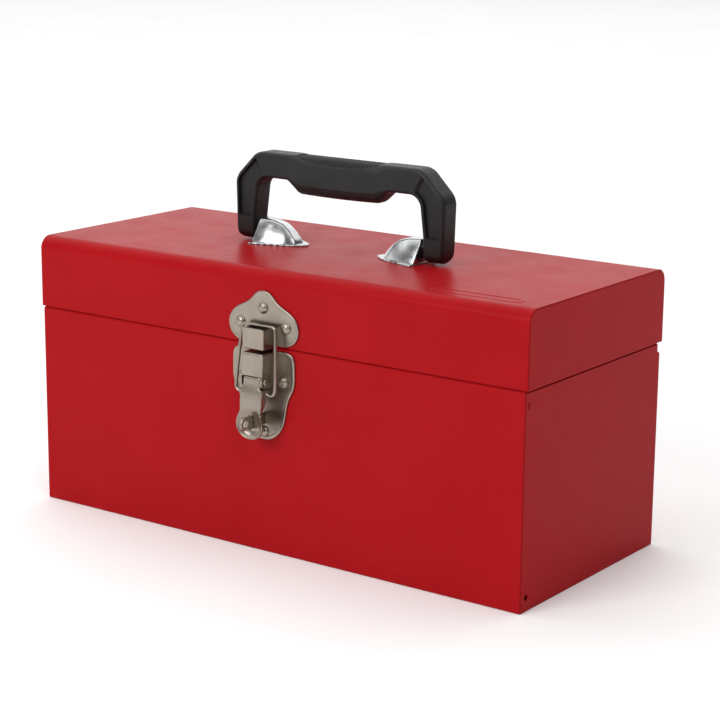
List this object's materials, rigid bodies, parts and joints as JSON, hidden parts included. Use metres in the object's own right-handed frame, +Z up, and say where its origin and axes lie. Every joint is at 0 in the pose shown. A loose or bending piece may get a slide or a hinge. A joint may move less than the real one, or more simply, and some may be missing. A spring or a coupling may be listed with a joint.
{
  "type": "metal tool box",
  "caption": "Rectangular steel tool box with a rear-hinged lid, folding carry handle, front draw latch with padlock eye, and a lift-out tote tray.",
  "frame": {"origin": "centre of the body's bottom face, on the surface the box stands on", "axes": "+X to the right along the front, +Y from the front to the hinged back, +Z up"},
  "size_m": [0.406, 0.1989, 0.2575],
  "materials": {
    "red_paint": "satin powder coat",
    "nickel": "bright nickel plate, lightly dulled",
    "bracket_chrome": "bright chrome plate",
    "black_plastic": "fine-textured moulded polypropylene",
    "zinc_steel": "zinc plate"
  },
  "bodies": {
    "box_body": {"body_shell": "red_paint", "body_end_left": "red_paint", "body_end_right": "red_paint", "tray_rest_left": "red_paint", "tray_rest_right": "red_paint", "hinge_leaf_body": "red_paint", "hinge_pin": "zinc_steel", "latch_base_plate": "nickel", "latch_base_rivets": "nickel", "latch_staple": "nickel", "latch_pivot_pin": "nickel"},
    "lid": {"lid_shell": "red_paint", "lid_end_left": "red_paint", "lid_end_right": "red_paint", "hinge_leaf_lid": "red_paint", "keeper_plate": "nickel", "keeper_rivets": "nickel", "handle_bracket_left": "bracket_chrome", "handle_bracket_right": "bracket_chrome", "handle_backing_plate": "zinc_steel"},
    "handle": {"handle_grip": "black_plastic", "handle_pin_left": "zinc_steel", "handle_pin_right": "zinc_steel"},
    "lever": {"latch_lever": "nickel"},
    "bail": {"latch_bail": "nickel"},
    "tray": {"tray_pan": "red_paint", "tray_strap": "red_paint", "tray_dividers": "red_paint", "tray_rivets": "zinc_steel"}
  },
  "joints": [
    {"name": "lid_hinge", "type": "hinge", "parent": "box_body", "child": "lid", "pos_m": [0, 0.08344, 0.139], "axis": [-1, 0, 0], "range_deg": [0, 100]},
    {"name": "handle_fold", "type": "hinge", "parent": "lid", "child": "handle", "pos_m": [0, 0, 0.2047], "axis": [1, 0, 0], "range_deg": [-90, 90]},
    {"name": "latch_throw", "type": "hinge", "parent": "box_body", "child": "lever", "pos_m": [0, -0.097, 0.121], "axis": [-1, 0, 0], "range_deg": [0, 80]},
    {"name": "bail_swing", "type": "hinge", "parent": "lever", "child": "bail", "pos_m": [0, -0.0965, 0.1136], "axis": [1, 0, 0], "range_deg": [0, 90]},
    {"name": "tray_lift", "type": "slide", "parent": "box_body", "child": "tray", "axis": [0, 0, 1], "range_m": [0, 0.022]}
  ],
  "couplings": [
    {"joint": "bail_swing", "follows": "latch_throw", "ratio": 1.1}
  ]
}
